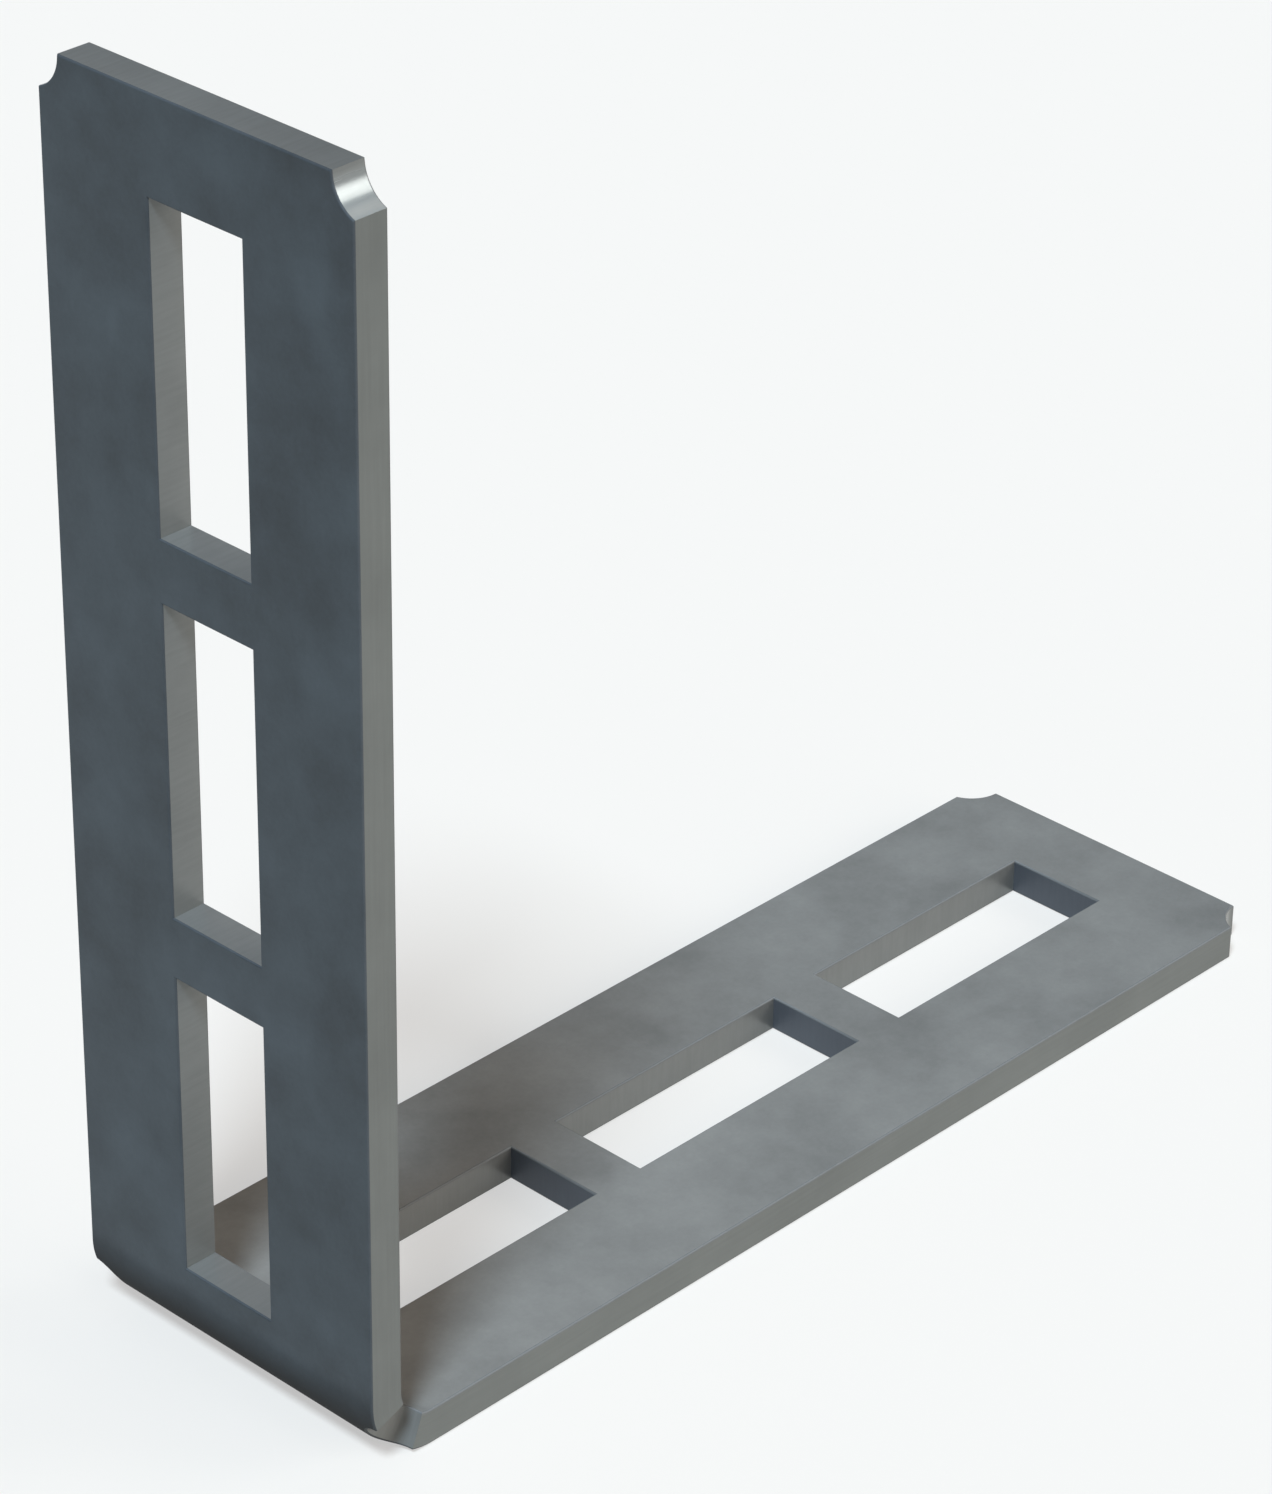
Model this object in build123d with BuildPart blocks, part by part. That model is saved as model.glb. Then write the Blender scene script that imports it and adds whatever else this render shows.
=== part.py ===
from build123d import *
import os
from math import tan

# Slotted angle bracket: one length of flat steel bar, punched while flat, then folded once to 90 degrees.
# The base leg lies along +X with its outer face on Z = 0, and the upright leg rises along +Z with its outer
# face on X = 0. The origin is the outer heel, where those two faces would meet, at the middle of the width.

# Flat bar
bar_width = 60.0
bar_thickness = 6.0

# Fold
bend_inner_radius = 6.0
neutral_fibre = 0.45  # depth of the unstretched fibre below the inner face, as a part of the thickness

# Square-ended slots, punched in a row down the middle of each leg
slot_count = 3
slot_length = 50.0
slot_width = 18.0
slot_web = 10.0  # steel left between two slots
bend_setback = 5.0  # from the end of the fold to the first slot
end_margin = 15.0  # from the last slot to the free end of the leg

# Round nibbles that take off the four free corners: the punch is centred a little outside the side of the bar
corner_punch_diameter = 12.0
corner_punch_depth = 4.0

# Half-round relief punched into both sides of the bar on the line of the fold, so that the edges don't bulge
relief_diameter = 7.5

# Narrow chamfer along every punched and sheared rim, where the burr was taken off
rim_chamfer = 0.3

# How far a cutter runs past the steel
cut_overrun = 2.0

# Sizes that follow from these
bend_outer_radius = bend_inner_radius + bar_thickness
slot_pitch = slot_length + slot_web
slot_row_length = slot_count * slot_pitch - slot_web
slot_row_start = bend_outer_radius + bend_setback
slot_row_middle = slot_row_start + slot_row_length / 2
leg_length = slot_row_start + slot_row_length + end_margin
corner_punch_radius = corner_punch_diameter / 2
corner_punch_offset = bar_width / 2 + corner_punch_radius - corner_punch_depth

# The outer face of each leg, with local x from the heel to the free end and the normal into the steel
base_face = Plane.XY
upright_face = Plane(origin=(0, 0, 0), x_dir=(0, 0, 1), z_dir=(1, 0, 0))

# The plane that holds the bend axis and faces the heel, at one side of the bar: local x runs round the fold
# and local y runs in from the side
relief_plane = Plane(
    origin=(bend_outer_radius, bar_width / 2, bend_outer_radius),
    x_dir=(1, 0, -1),
    z_dir=(-1, 0, -1),
)

# A hole punched in the flat keeps its size at the neutral fibre when the bar is folded, and its walls stay
# square to the faces. So every wall line points at the bend axis: the hole is short inside the fold and long
# outside it, and its section grows with the distance from the axis.
relief_radius = relief_diameter / 2
neutral_radius = bend_inner_radius + neutral_fibre * bar_thickness
relief_slope = tan(relief_radius / neutral_radius)
relief_start = bend_inner_radius / 2
relief_end = bend_outer_radius + cut_overrun

# The cutter's round wall goes on past the side of the bar, and a straight one closes it out there
relief_arc_start = -45
relief_arc_size = 270

with BuildPart() as relief_cutter:
    for axis_distance in (relief_start, relief_end):
        with BuildSketch(relief_plane.offset(axis_distance)):
            with BuildLine():
                round_wall = EllipticalCenterArc(
                    (0, 0),
                    x_radius=axis_distance * relief_slope,
                    y_radius=relief_radius,
                    start_angle=relief_arc_start,
                    arc_size=relief_arc_size,
                )
                Line(round_wall @ 1, round_wall @ 0)
            make_face()
    loft()

with BuildPart() as angle_bracket:
    # The folded bar
    with BuildSketch(Plane.XZ):
        with BuildLine():
            FilletPolyline((0, leg_length), (0, 0), (leg_length, 0), radius=bend_outer_radius)
            offset(amount=bar_thickness, side=Side.LEFT)
        make_face()
    extrude(amount=bar_width / 2, both=True)

    # Slots and corner nibbles, the same in both legs
    for outer_face in (base_face, upright_face):
        with BuildSketch(outer_face):
            with Locations((slot_row_middle, 0)):
                with GridLocations(slot_pitch, 0, slot_count, 1):
                    Rectangle(slot_length, slot_width)
            with Locations((leg_length, 0)):
                with GridLocations(0, 2 * corner_punch_offset, 1, 2):
                    Circle(corner_punch_radius)
        extrude(amount=bar_thickness, mode=Mode.SUBTRACT)

    # Relief at both sides of the fold
    add(relief_cutter.part, mode=Mode.SUBTRACT)
    mirror(relief_cutter.part, about=Plane.XZ, mode=Mode.SUBTRACT)

    # The rolled faces of the bar are its four large flats and the two round faces of the fold. Two of them
    # share each line where the fold begins, so their rims are the edges that belong to only one of them.
    flats = faces().filter_by(GeomType.PLANE).sort_by(SortBy.AREA)[-4:]
    fold_faces = faces().filter_by(GeomType.CYLINDER).sort_by(SortBy.AREA)[-2:]
    rolled_edges = [edge for face in flats + fold_faces for edge in face.edges()]
    rims = [edge for edge in rolled_edges if rolled_edges.count(edge) == 1]
    chamfer(rims, length=rim_chamfer)

angle_bracket.part.label = "angle_bracket"

os.makedirs("parts", exist_ok=True)
export_step(angle_bracket.part, "parts/angle_bracket.step")
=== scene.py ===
"""Slotted angle bracket: one galvanised flat bar with six slots, folded once."""
from math import acos, pi, radians

import bmesh
import bpy
from bpy.props import FloatProperty, FloatVectorProperty, IntProperty, PointerProperty
from mathutils import Matrix, Vector


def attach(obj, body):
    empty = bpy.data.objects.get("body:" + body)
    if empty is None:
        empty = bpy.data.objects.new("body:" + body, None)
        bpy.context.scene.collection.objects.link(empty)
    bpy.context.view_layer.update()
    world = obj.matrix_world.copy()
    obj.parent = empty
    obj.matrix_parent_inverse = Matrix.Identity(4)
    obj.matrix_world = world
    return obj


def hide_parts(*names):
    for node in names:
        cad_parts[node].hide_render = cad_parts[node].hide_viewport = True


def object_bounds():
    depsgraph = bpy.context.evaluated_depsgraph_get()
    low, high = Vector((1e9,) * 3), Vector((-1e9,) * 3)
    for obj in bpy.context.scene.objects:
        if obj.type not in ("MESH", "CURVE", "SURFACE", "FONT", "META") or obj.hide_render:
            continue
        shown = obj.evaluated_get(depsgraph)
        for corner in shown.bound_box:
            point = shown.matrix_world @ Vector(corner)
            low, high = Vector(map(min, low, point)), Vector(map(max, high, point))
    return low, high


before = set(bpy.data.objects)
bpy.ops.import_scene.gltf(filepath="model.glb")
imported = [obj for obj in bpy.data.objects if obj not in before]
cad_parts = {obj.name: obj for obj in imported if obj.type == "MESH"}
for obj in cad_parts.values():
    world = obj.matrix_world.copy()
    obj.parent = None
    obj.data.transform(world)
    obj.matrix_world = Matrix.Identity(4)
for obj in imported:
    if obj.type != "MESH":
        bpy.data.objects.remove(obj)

bl_info = {
    "name": "Slotted angle bracket",
    "version": (1, 0, 0),
    "blender": (4, 5, 0),
    "location": "3D View > Sidebar > Bracket",
    "description": "Folds a slotted, galvanised angle bracket and sets up its studio",
    "category": "Add Mesh",
}

MM = 0.001

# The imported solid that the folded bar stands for, and the box of the whole frame
CAD_NODE = "angle_bracket"
CAD_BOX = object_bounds()
CAD_SIZE = CAD_BOX[1] - CAD_BOX[0]

# Faces round half of the fold, one nibble, half of one relief, and a rim
HALF_FOLD_STEPS = 16
NIBBLE_STEPS = 16
RELIEF_STEPS = 12
RIM_STEPS = 3

# Places this close are the same place
SAME_PLACE = 0.001 * MM

# A cut that comes this close to a vertex goes through it, so that it leaves no slivers
CUT_SNAP = 0.06 * MM

# Faces that meet at more than this keep a sharp edge in the shading
SHARP_ANGLE = radians(40)

# A wall of the flat bar is curved if its normal has at least this much of both x and y, and it
# faces the heel if the x of its normal is below the other
CURVED, HEELWARD = 0.001, -0.9

# What the mesh tells the material about each face: any wall between the outer and inner faces,
# a side of the bar, a nibble's wall, a slot wall that faces the heel and gets painted shade, and a
# rounded rim
FACE_MARKS = ("cut_wall", "mill_edge", "burnished", "drained", "rim")

# What the mesh tells the material about each vertex: where it was before the bar was folded
FLAT_PLACE = "flat_place"

# Sockets of the mix node, for numbers and for colours
NUMBER_A, NUMBER_B, COLOUR_A, COLOUR_B, MIXED_COLOUR = 2, 3, 6, 7, 2

# The range that a noise hardly leaves
NOISE_RANGE = {"From Min": 0.3, "From Max": 0.7}

# The painted shade outside the fold starts to fade, and is gone, this far from the middle of the
# fold, where 1 is half of the fold. It goes this deep into the bar, in thicknesses.
FOLD_FADE_START, FOLD_FADE_END, FOLD_FADE_DEPTH = 0.2, 1.4, 0.1

# How much slower the lines change along themselves than across
PUNCH_LINE_STRETCH, MILL_LINE_STRETCH = 0.08, 0.03

# Share of the clouds in the tone of the lines
CLOUDS_IN_LINES = 0.7

# A nibble's wall starts to brighten, and is bright, this far from the free end
NIBBLE_DULL, NIBBLE_BRIGHT = 0.5 * MM, 3 * MM


def linear(hex_colour):
    """Turns an sRGB hex colour into the linear red, green and blue that shaders take."""
    channels = [int(hex_colour[i : i + 2], 16) / 255 for i in (1, 3, 5)]
    return [c / 12.92 if c <= 0.04045 else ((c + 0.055) / 1.055) ** 2.4 for c in channels]


def length_in_mm(name, description, size):
    """A length that a user may change, with its default given in millimetres."""
    return FloatProperty(
        name=name, description=description, default=size * MM, min=0, precision=4, unit="LENGTH"
    )


def share(name, description, value):
    """A share or tone between 0 and 1 that a user may change."""
    return FloatProperty(
        name=name, description=description, default=value, min=0, max=1, subtype="FACTOR"
    )


def strength(name, description, value):
    """The strength of a lamp that a user may change."""
    return FloatProperty(name=name, description=description, default=value, min=0)


def turn_in_degrees(name, description, degrees):
    """An angle that a user may change, with its default given in degrees."""
    return FloatProperty(
        name=name, description=description, default=radians(degrees), subtype="ANGLE"
    )


def surface_colour(name, description, hex_colour):
    """A colour that a user may change, with its default given as sRGB hex."""
    return FloatVectorProperty(
        name=name,
        description=description,
        default=linear(hex_colour),
        min=0,
        max=1,
        subtype="COLOR",
    )


class BracketSizes(bpy.types.PropertyGroup):
    """Sizes of the bar, its punched holes and its fold"""

    bar_width: length_in_mm("Bar width", "Width of the flat bar", CAD_SIZE.y / MM)
    bar_thickness: length_in_mm("Bar thickness", "Thickness of the flat bar", 6)
    leg_length: length_in_mm("Leg length", "From the heel to a free end", CAD_SIZE.x / MM)
    fold_inner_radius: length_in_mm("Fold radius", "Radius inside the fold", 6)
    neutral_fibre: share("Neutral fibre", "Depth from inside, in thicknesses", 0.45)
    slot_count: IntProperty(name="Slots", description="Slots in each leg", default=3, min=1)
    slot_length: length_in_mm("Slot length", "Along the bar", 50)
    slot_width: length_in_mm("Slot width", "Across the bar", 18)
    slot_web: length_in_mm("Web", "Steel left between two slots", 10)
    slot_setback: length_in_mm("Setback", "From the end of the fold to the first slot", 5)
    nibble_diameter: length_in_mm("Nibble", "Punch that takes off the free corners", 12)
    nibble_depth: length_in_mm("Nibble depth", "How far that punch cuts in from the side", 4)
    relief_diameter: length_in_mm("Relief", "Punch at both sides of the fold", 7.5)
    rim_radius: length_in_mm("Rim radius", "Rounding of every cut rim under the zinc", 0.3)


class BracketFinish(bpy.types.PropertyGroup):
    """Colours, patterns and gloss of the zinc coating"""

    # The outer zinc is painted darker and bluer than the inner zinc, as shade on the outer side
    outer_zinc_painted_shade: surface_colour("Shaded outer zinc", "Outer side of the bar", "#3A444A")
    inner_zinc: surface_colour("Inner zinc", "Inner side of the bar", "#888985")
    cut_zinc: surface_colour("Zinc on cuts", "Punched and sheared walls", "#777976")
    mill_zinc: surface_colour("Zinc on mill edges", "Rolled sides of the bar", "#6D706C")
    # Paler than the cut zinc: partly burnish, partly a painted sheen
    burnish_and_sheen_zinc: surface_colour("Burnished zinc and sheen", "Walls of the corner nibbles", "#9CA09C")
    # Painted shade on the slot walls that face the heel
    heelward_shade_zinc: surface_colour("Heelward shade", "Slot walls that face the heel", "#555A60")
    worn_rim: surface_colour("Worn rims", "Zinc rubbed along the rims", "#5C6062")
    cloud_size: length_in_mm("Cloud size", "Width of the soft patches", 26)
    crystal_size: length_in_mm("Crystal size", "Width of one crystal of the coating", 9)
    crystal_share: share("Crystals", "Share of the crystals in the patches", 0.12)
    grain_size: length_in_mm("Grain size", "Width of the coating's fine grain", 0.7)
    grain_share: share("Grain", "Share of the fine grain in the mottle", 0.12)
    inner_mottle: share("Inner mottle", "Mottle inside, where outside is 1", 0.6)
    line_spacing: length_in_mm("Line spacing", "Of the lines left by punch and mill", 0.6)
    line_contrast: share("Line contrast", "How much the lines change the tone", 0.14)
    # Painted shade outside the fold
    fold_shade_tone: share("Fold shade", "Tone outside the fold, where the legs are 1", 0.1)
    bump_height: length_in_mm("Bump height", "Height of the grain and the lines", 0.004)
    metallic: share("Metallic", "Share of bare metal in the dull coating", 0.35)
    rolled_roughness: share("Rolled roughness", "Of the outer and inner faces", 0.43)
    cut_roughness: share("Cut roughness", "Of the walls between them", 0.31)
    roughness_swing: share("Roughness swing", "How far clouds and lines change it", 0.03)
    burnished_roughness: share("Burnished roughness", "Of the nibbles' walls", 0.23)
    heelward_roughness: share("Heelward wall roughness", "Of walls that face the heel", 0.5)
    fold_roughness: share("Fold roughness", "Outside the fold", 0.85)
    rim_roughness: share("Rim roughness", "Along the rims", 0.75)


class BracketStudio(bpy.types.PropertyGroup):
    """Camera, lamps and floor"""

    azimuth: turn_in_degrees("Azimuth", "Camera's turn round the bracket", -46.607)
    elevation: turn_in_degrees("Elevation", "Camera's height above the floor", 30.078)
    roll: turn_in_degrees("Roll", "Camera's tilt to one side", -0.818)
    distance: length_in_mm("Distance", "From the camera to its aim", 797.53)
    aim: FloatVectorProperty(
        name="Aim",
        description="Point at the middle of the picture",
        default=(0.08235, -0.0018, 0.07546),
        subtype="TRANSLATION",
    )
    lens: FloatProperty(
        name="Lens",
        description="Focal length in millimetres",
        default=129.41,
        min=1,
        unit="CAMERA",
    )
    floor_colour: surface_colour("Floor", "Matt paint of the floor", "#9B978F")
    floor_glow: share("Floor glow", "White added to the floor in the picture", 0.52)
    high_lamp: strength("High lamp", "Cool, high at the left", 4.4)
    front_lamp: strength("Front lamp", "Warm, low at the front", 1.05)
    glint_lamp: strength("Glint lamp", "White, mirrored by the nibbles' walls", 1.05)
    right_lamp: strength("Right lamp", "Warm, at the right", 0.2)
    back_lamp: strength("Back lamp", "Warm, high behind", 0.2)
    sky: strength("Sky", "Light from all round", 0.03)


def neutral_radius(size):
    """Radius of the fibre that keeps its length in the fold."""
    return size.fold_inner_radius + size.neutral_fibre * size.bar_thickness


def half_fold(size):
    """Length of the bar, measured flat, from the middle of the fold to where a leg begins."""
    return neutral_radius(size) * pi / 4


def leg_end_in_flat(size):
    """Length of the bar, measured flat, from the middle of the fold to a free end."""
    return half_fold(size) + size.leg_length - size.fold_inner_radius - size.bar_thickness


def punched_arc(bm, start, centre, turn, steps):
    """The wall of a round punch, as a vertex spun about the punch's middle."""
    first = bm.verts.new(start)
    bmesh.ops.spin(bm, geom=[first], cent=centre, axis=(0, 0, 1), angle=turn, steps=steps)
    bm.verts.ensure_lookup_table()
    return [first, *bm.verts[-steps:]]


def bisect(bm, place, normal):
    """Cuts every face on a plane."""
    everything = bm.verts[:] + bm.edges[:] + bm.faces[:]
    bmesh.ops.bisect_plane(
        bm, geom=everything, dist=CUT_SNAP, plane_co=place, plane_no=normal
    )


def slot_ends(size):
    """The near and the far end of each slot of a leg, measured flat."""
    first = half_fold(size) + size.slot_setback
    pitch = size.slot_length + size.slot_web
    starts = [first + number * pitch for number in range(size.slot_count)]
    return [(start, start + size.slot_length) for start in starts]


def punch_outline(bm, size):
    """Draws half of one leg as one flat face, with its slots open to the centre line."""
    half_width, slot_side = size.bar_width / 2, size.slot_width / 2
    leg_end = leg_end_in_flat(size)
    outline = [(0, 0)]
    for near, far in slot_ends(size):
        outline += [(near, 0), (near, slot_side), (far, slot_side), (far, 0)]
    outline.append((leg_end, 0))
    nibble_radius = size.nibble_diameter / 2
    nibble_offset = nibble_radius - size.nibble_depth
    nibble = punched_arc(
        bm,
        start=(leg_end, half_width - size.nibble_depth, 0),
        centre=(leg_end, half_width + nibble_offset, 0),
        turn=-acos(nibble_offset / nibble_radius),
        steps=NIBBLE_STEPS,
    )
    relief = punched_arc(
        bm,
        start=(size.relief_diameter / 2, half_width, 0),
        centre=(0, half_width, 0),
        turn=-pi / 2,
        steps=RELIEF_STEPS,
    )
    bm.faces.new([bm.verts.new((x, y, 0)) for x, y in outline] + nibble + relief)
    return nibble[-1].co.x


def thicken(bm, thickness):
    """Pulls the flat outline up from the outer face to the inner one."""
    raised = bmesh.ops.extrude_face_region(bm, geom=bm.faces[:])
    inner_verts = [item for item in raised["geom"] if isinstance(item, bmesh.types.BMVert)]
    bmesh.ops.translate(bm, vec=(0, 0, thickness), verts=inner_verts)
    bmesh.ops.recalc_face_normals(bm, faces=bm.faces[:])


def mark_walls(bm, size):
    """Marks each wall of the flat leg with how it was made, and marks the walls that face the heel
    for painted shade.
    """
    marks = [bm.faces.layers.float[mark] for mark in FACE_MARKS]
    cut_wall, mill_edge, burnished, drained, _ = marks
    side = size.bar_width / 2 - SAME_PLACE
    for face in bm.faces:
        normal = face.normal
        on_leg = face.calc_center_median().x > half_fold(size)
        curved = min(abs(normal.x), abs(normal.y)) > CURVED
        face[cut_wall] = 1 - round(abs(normal.z))
        face[mill_edge] = float(all(vert.co.y > side for vert in face.verts))
        face[burnished] = float(on_leg and curved)
        # Walls that face the heel get painted shade
        face[drained] = float(on_leg and normal.x < HEELWARD)


def on_mirror_plane(part):
    """Whether an edge or a face lies where the half leg will be mirrored."""
    return any(all(vert.co[axis] < SAME_PLACE for vert in part.verts) for axis in (0, 1))


def round_rims(bm, radius):
    """Rounds the edges between a rolled face and a cut wall, and opens the ends to be mirrored."""
    marks = [bm.faces.layers.float[mark] for mark in FACE_MARKS]
    cut_wall, _, _, _, rim = marks
    rims = [
        edge
        for edge in bm.edges
        if sum(face[cut_wall] for face in edge.link_faces) == 1 and not on_mirror_plane(edge)
    ]
    rounded = bmesh.ops.bevel(
        bm,
        geom=rims,
        offset=radius,
        offset_type="OFFSET",
        segments=RIM_STEPS,
        profile=0.5,
        affect="EDGES",
        material=-1,
    )
    for face in rounded["faces"]:
        for mark in marks:
            face[mark] = float(mark is rim)
    open_ends = [face for face in bm.faces if on_mirror_plane(face)]
    bmesh.ops.delete(bm, geom=open_ends, context="FACES")


def cut_columns(bm, size, nibble_start):
    """Cuts the leg into close columns in the fold and one at each end of a slot and nibble."""
    steps = range(1, HALF_FOLD_STEPS + 1)
    columns = [half_fold(size) * step / HALF_FOLD_STEPS for step in steps]
    for near, far in slot_ends(size):
        columns += [near - size.rim_radius, far + size.rim_radius]
    columns.append(nibble_start - size.rim_radius)
    for column in columns:
        bisect(bm, (column, 0, 0), (1, 0, 0))
    bisect(bm, (0, size.slot_width / 2 + size.rim_radius, 0), (0, 1, 0))


def bend(bm, size):
    """Takes each vertex in the fold to where the fold ends, and turns it back by its own share."""
    flat_place = bm.verts.layers.float_vector[FLAT_PLACE]
    fold_end = half_fold(size)
    outer_radius = size.fold_inner_radius + size.bar_thickness
    axis_place = (outer_radius, 0, outer_radius)
    for vert in bm.verts:
        vert[flat_place] = vert.co
        turn = max(fold_end - vert.co.x, 0) / neutral_radius(size)
        vert.co.x = max(vert.co.x, fold_end) + outer_radius - fold_end
        turned = Matrix.Rotation(turn, 3, "Y")
        bmesh.ops.rotate(bm, verts=[vert], cent=axis_place, matrix=turned)


def mirror_to_whole(bm):
    """Mirrors the half leg about its centre line, then the leg about the middle of the fold."""
    flat_place = bm.verts.layers.float_vector[FLAT_PLACE]
    for axis, space, flat_axis in (
        ("Y", Matrix.Identity(4), 1),
        ("X", Matrix.Rotation(radians(-45), 4, "Y"), 0),
    ):
        everything = bm.verts[:] + bm.edges[:] + bm.faces[:]
        mirrored = bmesh.ops.mirror(
            bm, geom=everything, matrix=space, merge_dist=SAME_PLACE, axis=axis
        )
        for item in mirrored["geom"]:
            if isinstance(item, bmesh.types.BMVert):
                item[flat_place][flat_axis] *= -1
    bmesh.ops.remove_doubles(bm, verts=bm.verts[:], dist=SAME_PLACE)
    bmesh.ops.recalc_face_normals(bm, faces=bm.faces[:])


def folded_bar_mesh(size):
    """Half of one leg is punched and rounded flat, bent about the fold, then mirrored twice.

    In the flat, x runs along the bar from the middle of the fold, y across it from its centre
    line, and z from the outer face to the inner one.
    """
    bm = bmesh.new()
    for mark in FACE_MARKS:
        bm.faces.layers.float.new(mark)
    bm.verts.layers.float_vector.new(FLAT_PLACE)
    nibble_start = punch_outline(bm, size)
    thicken(bm, size.bar_thickness)
    mark_walls(bm, size)
    round_rims(bm, size.rim_radius)
    cut_columns(bm, size, nibble_start)
    bend(bm, size)
    mirror_to_whole(bm)
    closed = all(edge.is_manifold for edge in bm.edges)
    mesh = bpy.data.meshes.new("folded_bar")
    bm.to_mesh(mesh)
    bm.free()
    if not closed:
        raise RuntimeError("The folded bar isn't closed: some of its sizes run into each other")
    mesh.shade_smooth()
    mesh.set_sharp_from_angle(angle=SHARP_ANGLE)
    return mesh


def add_node(tree, kind, settings=None, links=None):
    """Adds one shader node, sets its fields and sockets, and links its inputs.

    A link starts at the socket given, or at the first output of the node given.
    """
    node = tree.nodes.new(kind)
    for name, value in (settings or {}).items():
        if isinstance(name, str) and hasattr(node, name):
            setattr(node, name, value)
        else:
            node.inputs[name].default_value = value
    for name, source in (links or {}).items():
        start = source.outputs[0] if isinstance(source, bpy.types.Node) else source
        tree.links.new(start, node.inputs[name])
    return node


def empty_material(name):
    """A material with nothing in its node tree."""
    material = bpy.data.materials.new(name)
    material.use_nodes = True
    material.node_tree.nodes.clear()
    return material


def hot_dip_galvanised_steel(finish, size):
    """Mild steel dipped in zinc and gone dull.

    The eye sees a matt blue-grey metal with soft clouds, hardly paler or darker than the rest.
    Close to, the clouds hold faint crystals and a fine grain. The walls left by the punch are
    smoother and finely lined through the bar, the mill edges are lined along it, and the rims
    are rubbed. The round punch leaves burnished walls at the corners, painted paler as sheen.
    Slot walls that face the heel, the outside of the fold and the outer side of the bar are
    painted darker, as shade.
    """
    material = empty_material("hot_dip_galvanised_steel")
    tree = material.node_tree
    on_cut, on_mill_edge, on_nibble, on_heelward_shade, on_rim = [
        add_node(tree, "ShaderNodeAttribute", {"attribute_name": mark}).outputs["Fac"]
        for mark in FACE_MARKS
    ]
    flat_place = add_node(tree, "ShaderNodeAttribute", {"attribute_name": FLAT_PLACE})
    place = flat_place.outputs["Vector"]

    # Clouds, crystals and grain
    clouds = add_node(
        tree,
        "ShaderNodeTexNoise",
        {"Scale": 1 / finish.cloud_size, "Detail": 5, "Roughness": 0.66},
        {"Vector": place},
    )
    crystal_cells = add_node(
        tree,
        "ShaderNodeTexVoronoi",
        {"feature": "SMOOTH_F1", "Scale": 1 / finish.crystal_size, "Smoothness": 0.5},
        {"Vector": place},
    )
    crystals = add_node(
        tree, "ShaderNodeSeparateColor", links={"Color": crystal_cells.outputs["Color"]}
    )
    grain = add_node(
        tree,
        "ShaderNodeTexNoise",
        {"Scale": 1 / finish.grain_size, "Detail": 2, "Roughness": 0.6},
        {"Vector": place},
    )
    patches = add_node(
        tree,
        "ShaderNodeMix",
        {"Factor": finish.crystal_share},
        {NUMBER_A: clouds, NUMBER_B: crystals},
    )
    mottle = add_node(
        tree,
        "ShaderNodeMix",
        {"Factor": finish.grain_share},
        {NUMBER_A: patches, NUMBER_B: grain},
    )

    # The outer side of the bar is painted darker and bluer than the inner one, as shade, and its
    # mottle is stronger
    position = add_node(tree, "ShaderNodeSeparateXYZ", links={"Vector": place})
    inwards = add_node(
        tree,
        "ShaderNodeMapRange",
        {"From Max": size.bar_thickness},
        {"Value": position.outputs["Z"]},
    )
    side_shaded_zinc = add_node(
        tree,
        "ShaderNodeMix",
        {
            "data_type": "RGBA",
            COLOUR_A: (*finish.outer_zinc_painted_shade, 1),
            COLOUR_B: (*finish.inner_zinc, 1),
        },
        {"Factor": inwards},
    )
    swing = add_node(
        tree, "ShaderNodeMapRange", {"To Min": 1, "To Max": finish.inner_mottle}, {"Value": inwards}
    )
    dark_to_light = add_node(
        tree, "ShaderNodeMapRange", {"To Min": -1, "To Max": 1}, {"Value": mottle}
    )
    mottle_tone = add_node(
        tree, "ShaderNodeMath", {"operation": "MULTIPLY_ADD", 2: 1}, {0: dark_to_light, 1: swing}
    )
    zinc = add_node(
        tree,
        "ShaderNodeVectorMath",
        {"operation": "SCALE"},
        {0: side_shaded_zinc.outputs[MIXED_COLOUR], "Scale": mottle_tone},
    )

    # The painted shade outside the fold fades out into the legs, and hardly goes into the bar
    fade_start, fade_end = FOLD_FADE_START * half_fold(size), FOLD_FADE_END * half_fold(size)
    from_fold = add_node(
        tree, "ShaderNodeMath", {"operation": "ABSOLUTE"}, {0: position.outputs["X"]}
    )
    near_fold = add_node(
        tree,
        "ShaderNodeMapRange",
        {"interpolation_type": "SMOOTHSTEP", "From Min": fade_end, "From Max": fade_start},
        {"Value": from_fold},
    )
    near_outside = add_node(
        tree,
        "ShaderNodeMapRange",
        {"From Min": FOLD_FADE_DEPTH, "From Max": 0},
        {"Value": inwards},
    )
    fold_shade_mask = add_node(
        tree, "ShaderNodeMath", {"operation": "MULTIPLY"}, {0: near_fold, 1: near_outside}
    )
    fold_shade_tone = add_node(
        tree,
        "ShaderNodeMapRange",
        {"To Min": 1, "To Max": finish.fold_shade_tone},
        {"Value": fold_shade_mask},
    )
    rolled_colour = add_node(
        tree, "ShaderNodeVectorMath", {"operation": "SCALE"}, {0: zinc, "Scale": fold_shade_tone}
    )

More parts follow.
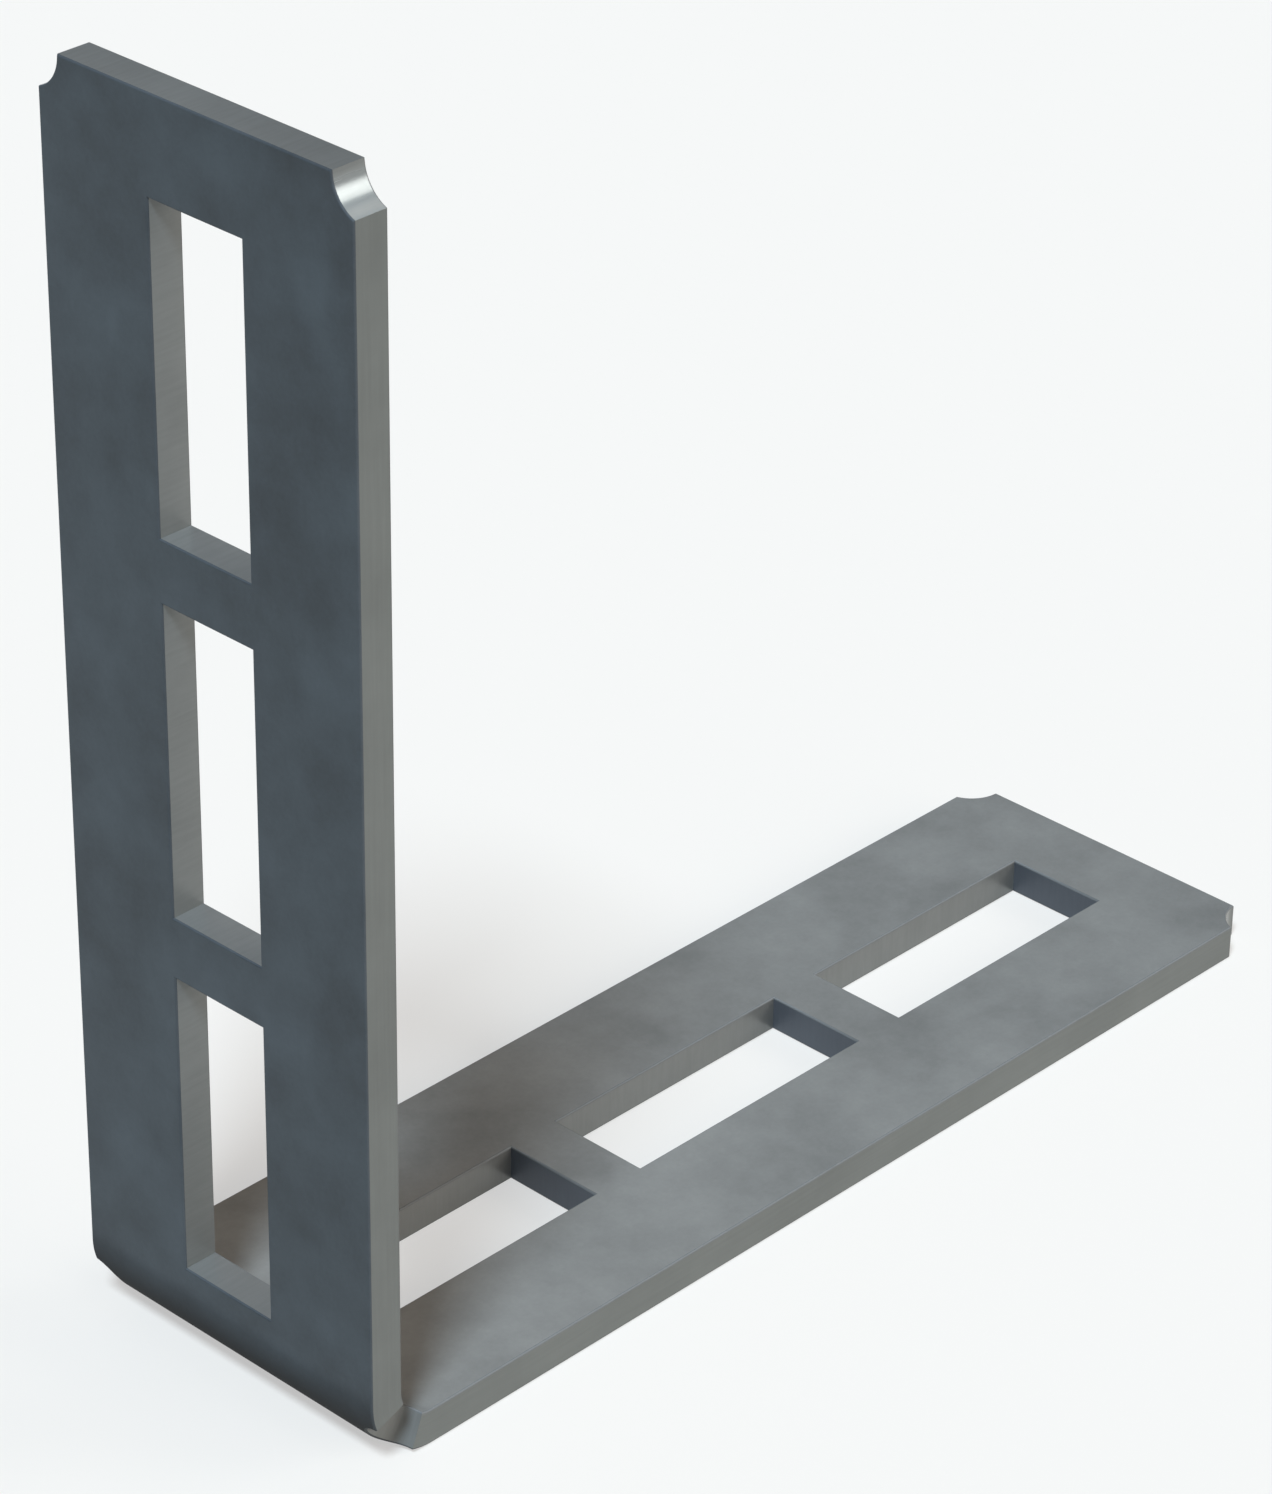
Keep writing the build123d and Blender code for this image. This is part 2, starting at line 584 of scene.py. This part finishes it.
    # Lines of the punch, through the bar, and of the mill, along it. The real ones are finer, and
    # are drawn coarser so that the picture can show them.
    through_bar = add_node(
        tree,
        "ShaderNodeVectorMath",
        {"operation": "MULTIPLY", 1: (1, 1, PUNCH_LINE_STRETCH)},
        {0: place},
    )
    along_bar = add_node(
        tree,
        "ShaderNodeVectorMath",
        {"operation": "MULTIPLY", 1: (MILL_LINE_STRETCH, 1, 1)},
        {0: place},
    )
    line_settings = {"Scale": 1 / finish.line_spacing, "Detail": 3}
    punch_lines = add_node(tree, "ShaderNodeTexNoise", line_settings, {"Vector": through_bar})
    mill_lines = add_node(tree, "ShaderNodeTexNoise", line_settings, {"Vector": along_bar})
    lines = add_node(
        tree,
        "ShaderNodeMix",
        links={"Factor": on_mill_edge, NUMBER_A: punch_lines, NUMBER_B: mill_lines},
    )
    cloudy_lines = add_node(
        tree, "ShaderNodeMix", {"Factor": CLOUDS_IN_LINES}, {NUMBER_A: lines, NUMBER_B: clouds}
    )
    line_tone = add_node(
        tree,
        "ShaderNodeMapRange",
        {**NOISE_RANGE, "To Min": 1 - finish.line_contrast, "To Max": 1 + finish.line_contrast},
        {"Value": cloudy_lines},
    )

    # The nibbles' walls grow brighter away from the free end: partly burnished zinc, partly a
    # painted sheen
    leg_end = leg_end_in_flat(size)
    deep_in_nibble = add_node(
        tree,
        "ShaderNodeMapRange",
        {"From Min": leg_end - NIBBLE_DULL, "From Max": leg_end - NIBBLE_BRIGHT},
        {"Value": from_fold},
    )
    burnish_and_sheen = add_node(
        tree, "ShaderNodeMath", {"operation": "MULTIPLY"}, {0: on_nibble, 1: deep_in_nibble}
    )
    cut_or_mill = add_node(
        tree,
        "ShaderNodeMix",
        {
            "data_type": "RGBA",
            COLOUR_A: (*finish.cut_zinc, 1),
            COLOUR_B: (*finish.mill_zinc, 1),
        },
        {"Factor": on_mill_edge},
    )
    burnished_and_sheen_cut = add_node(
        tree,
        "ShaderNodeMix",
        {"data_type": "RGBA", COLOUR_B: (*finish.burnish_and_sheen_zinc, 1)},
        {"Factor": burnish_and_sheen, COLOUR_A: cut_or_mill.outputs[MIXED_COLOUR]},
    )
    # Slot walls that face the heel are painted darker, as shade
    heelward_shaded_cut = add_node(
        tree,
        "ShaderNodeMix",
        {"data_type": "RGBA", COLOUR_B: (*finish.heelward_shade_zinc, 1)},
        {"Factor": on_heelward_shade, COLOUR_A: burnished_and_sheen_cut.outputs[MIXED_COLOUR]},
    )
    cut_colour = add_node(
        tree,
        "ShaderNodeVectorMath",
        {"operation": "SCALE"},
        {0: heelward_shaded_cut.outputs[MIXED_COLOUR], "Scale": line_tone},
    )
    rolled_and_cut = add_node(
        tree,
        "ShaderNodeMix",
        {"data_type": "RGBA"},
        {"Factor": on_cut, COLOUR_A: rolled_colour, COLOUR_B: cut_colour},
    )

    # Wear along the rims, in patches
    wear = add_node(tree, "ShaderNodeMath", {"operation": "MULTIPLY"}, {0: on_rim, 1: mottle})
    colour = add_node(
        tree,
        "ShaderNodeMix",
        {"data_type": "RGBA", COLOUR_B: (*finish.worn_rim, 1)},
        {"Factor": wear, COLOUR_A: rolled_and_cut.outputs[MIXED_COLOUR]},
    )

    # The paler clouds are a little glossier than the darker ones, and the paler lines too
    gloss_swing = finish.roughness_swing
    face_gloss = add_node(
        tree,
        "ShaderNodeMapRange",
        {
            **NOISE_RANGE,
            "To Min": finish.rolled_roughness + gloss_swing,
            "To Max": finish.rolled_roughness - gloss_swing,
        },
        {"Value": mottle},
    )
    rolled_gloss = add_node(
        tree,
        "ShaderNodeMix",
        {NUMBER_B: finish.fold_roughness},
        {"Factor": fold_shade_mask, NUMBER_A: face_gloss},
    )
    line_gloss = add_node(
        tree,
        "ShaderNodeMapRange",
        {
            **NOISE_RANGE,
            "To Min": finish.cut_roughness + gloss_swing,
            "To Max": finish.cut_roughness - gloss_swing,
        },
        {"Value": lines},
    )
    burnished_gloss = add_node(
        tree,
        "ShaderNodeMix",
        {NUMBER_B: finish.burnished_roughness},
        {"Factor": burnish_and_sheen, NUMBER_A: line_gloss},
    )
    cut_gloss = add_node(
        tree,
        "ShaderNodeMix",
        {NUMBER_B: finish.heelward_roughness},
        {"Factor": on_heelward_shade, NUMBER_A: burnished_gloss},
    )
    wall_gloss = add_node(
        tree, "ShaderNodeMix", links={"Factor": on_cut, NUMBER_A: rolled_gloss, NUMBER_B: cut_gloss}
    )
    roughness = add_node(
        tree,
        "ShaderNodeMix",
        {NUMBER_B: finish.rim_roughness},
        {"Factor": on_rim, NUMBER_A: wall_gloss},
    )
    height = add_node(
        tree, "ShaderNodeMix", links={"Factor": on_cut, NUMBER_A: grain, NUMBER_B: lines}
    )
    bump = add_node(
        tree, "ShaderNodeBump", {"Distance": finish.bump_height}, {"Height": height}
    )
    shader = add_node(
        tree,
        "ShaderNodeBsdfPrincipled",
        {"Metallic": finish.metallic},
        {"Base Color": colour.outputs[MIXED_COLOUR], "Roughness": roughness, "Normal": bump},
    )
    add_node(tree, "ShaderNodeOutputMaterial", links={"Surface": shader})
    return material


def matt_floor_paint(colour, glow):
    """Matt emulsion, rolled on: an even pale surface with no sheen.

    The glow whitens the floor where the camera or a reflection sees it, and lights nothing.
    """
    material = empty_material("matt_floor_paint")
    tree = material.node_tree
    ray = add_node(tree, "ShaderNodeLightPath")
    seen = add_node(
        tree,
        "ShaderNodeMath",
        {"operation": "MAXIMUM"},
        {0: ray.outputs["Is Camera Ray"], 1: ray.outputs["Is Glossy Ray"]},
    )
    seen_or_through = add_node(
        tree,
        "ShaderNodeMath",
        {"operation": "MAXIMUM"},
        {0: seen, 1: ray.outputs["Is Transmission Ray"]},
    )
    white = add_node(
        tree, "ShaderNodeMath", {"operation": "MULTIPLY", 1: glow}, {0: seen_or_through}
    )
    shader = add_node(
        tree,
        "ShaderNodeBsdfPrincipled",
        {
            "Base Color": (*colour, 1),
            "Roughness": 0.9,
            "Specular IOR Level": 0.1,
            "Emission Color": (1, 1, 1, 1),
        },
        {"Emission Strength": white},
    )
    add_node(tree, "ShaderNodeOutputMaterial", links={"Surface": shader})
    return material


class BRACKET_OT_add_folded_bar(bpy.types.Operator):
    """Punch, fold and galvanise the flat bar"""

    bl_idname = "bracket.add_folded_bar"
    bl_label = "Add folded bar"

    def execute(self, context):
        size, finish = context.scene.bracket_sizes, context.scene.bracket_finish
        piece = bpy.data.objects.new("folded_bar", folded_bar_mesh(size))
        context.scene.collection.objects.link(piece)
        piece.data.materials.append(hot_dip_galvanised_steel(finish, size))
        shading = piece.modifiers.new("even_shading", "WEIGHTED_NORMAL")
        shading.keep_sharp = True
        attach(piece, "root")
        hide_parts(CAD_NODE)
        return {"FINISHED"}


# Colours of the lamps and of the light from all round
COOL, WARM, WHITE, SKY = "#DCEDFF", "#FFEEE2", "#FFFFFF", "#DCE6F2"

# Each lamp's direction from the bracket, its colour, and how wide it looks in degrees
LAMPS = {
    "high_lamp": ((-0.47, -0.24, 0.85), COOL, 13),
    "front_lamp": ((0.10, -0.93, 0.35), WARM, 35),
    "glint_lamp": ((0.63, -0.65, 0.43), WHITE, 30),
    "right_lamp": ((0.77, 0.0, 0.64), WARM, 30),
    "back_lamp": ((0.35, 0.60, 0.72), WARM, 40),
}

# The floor goes this far each way, and lies a hair under the bracket, so that the two don't
# share a plane
FLOOR_REACH = 30
FLOOR_DROP = 0.05 * MM


def add_floor(scene, studio):
    """A wide square of painted floor."""
    bm = bmesh.new()
    under = Matrix.Translation((0, 0, -FLOOR_DROP))
    bmesh.ops.create_grid(bm, x_segments=1, y_segments=1, size=FLOOR_REACH, matrix=under)
    mesh = bpy.data.meshes.new("studio_floor")
    bm.to_mesh(mesh)
    bm.free()
    mesh.materials.append(matt_floor_paint(studio.floor_colour, studio.floor_glow))
    floor = bpy.data.objects.new("studio_floor", mesh)
    scene.collection.objects.link(floor)


def add_lights(scene, studio):
    """Five lamps far away, and an even dim light from all round."""
    for name, (towards, colour, degrees) in LAMPS.items():
        lamp = bpy.data.lights.new(name, "SUN")
        lamp.energy = getattr(studio, name)
        lamp.color = linear(colour)
        lamp.angle = radians(degrees)
        placed = bpy.data.objects.new(name, lamp)
        placed.rotation_euler = Vector(towards).to_track_quat("Z", "Y").to_euler()
        scene.collection.objects.link(placed)
    world = bpy.data.worlds.new("studio_light")
    world.use_nodes = True
    sky = world.node_tree.nodes["Background"]
    sky.inputs["Color"].default_value = (*linear(SKY), 1)
    sky.inputs["Strength"].default_value = studio.sky
    scene.world = world


def add_camera(scene, studio):
    """The photograph's camera, turned about its aim."""
    camera = bpy.data.objects.new("photo_camera", bpy.data.cameras.new("photo_camera"))
    camera.data.lens = studio.lens
    turn = Matrix.Rotation(studio.azimuth, 3, "Z")
    tilt = Matrix.Rotation(-studio.elevation, 3, "X")
    back = turn @ tilt @ Vector((0, -1, 0))
    camera.location = Vector(studio.aim) + studio.distance * back
    level = (-back).to_track_quat("-Z", "Y").to_matrix()
    camera.rotation_euler = (level @ Matrix.Rotation(-studio.roll, 3, "Z")).to_euler()
    scene.collection.objects.link(camera)
    scene.camera = camera


class BRACKET_OT_add_studio(bpy.types.Operator):
    """Add the floor, the lamps and the camera"""

    bl_idname = "bracket.add_studio"
    bl_label = "Add studio"

    def execute(self, context):
        scene, studio = context.scene, context.scene.bracket_studio
        add_floor(scene, studio)
        add_lights(scene, studio)
        add_camera(scene, studio)
        scene.view_settings.view_transform = "Standard"
        return {"FINISHED"}


class BRACKET_PT_panel(bpy.types.Panel):
    """Sizes, finish and studio of the bracket, with a button for each step"""

    bl_label = "Angle bracket"
    bl_idname = "BRACKET_PT_panel"
    bl_space_type = "VIEW_3D"
    bl_region_type = "UI"
    bl_category = "Bracket"

    def draw(self, context):
        scene = context.scene
        for settings in (scene.bracket_sizes, scene.bracket_finish, scene.bracket_studio):
            box = self.layout.box()
            for name in settings.__annotations__:
                box.prop(settings, name)
        self.layout.operator(BRACKET_OT_add_folded_bar.bl_idname)
        self.layout.operator(BRACKET_OT_add_studio.bl_idname)


CLASSES = (
    BracketSizes,
    BracketFinish,
    BracketStudio,
    BRACKET_OT_add_folded_bar,
    BRACKET_OT_add_studio,
    BRACKET_PT_panel,
)


def register():
    for cls in CLASSES:
        bpy.utils.register_class(cls)
    bpy.types.Scene.bracket_sizes = PointerProperty(type=BracketSizes)
    bpy.types.Scene.bracket_finish = PointerProperty(type=BracketFinish)
    bpy.types.Scene.bracket_studio = PointerProperty(type=BracketStudio)


def unregister():
    del bpy.types.Scene.bracket_studio
    del bpy.types.Scene.bracket_finish
    del bpy.types.Scene.bracket_sizes
    for cls in reversed(CLASSES):
        bpy.utils.unregister_class(cls)


def main():
    register()
    bpy.ops.bracket.add_folded_bar()
    bpy.ops.bracket.add_studio()


if __name__ == "__main__":
    main()
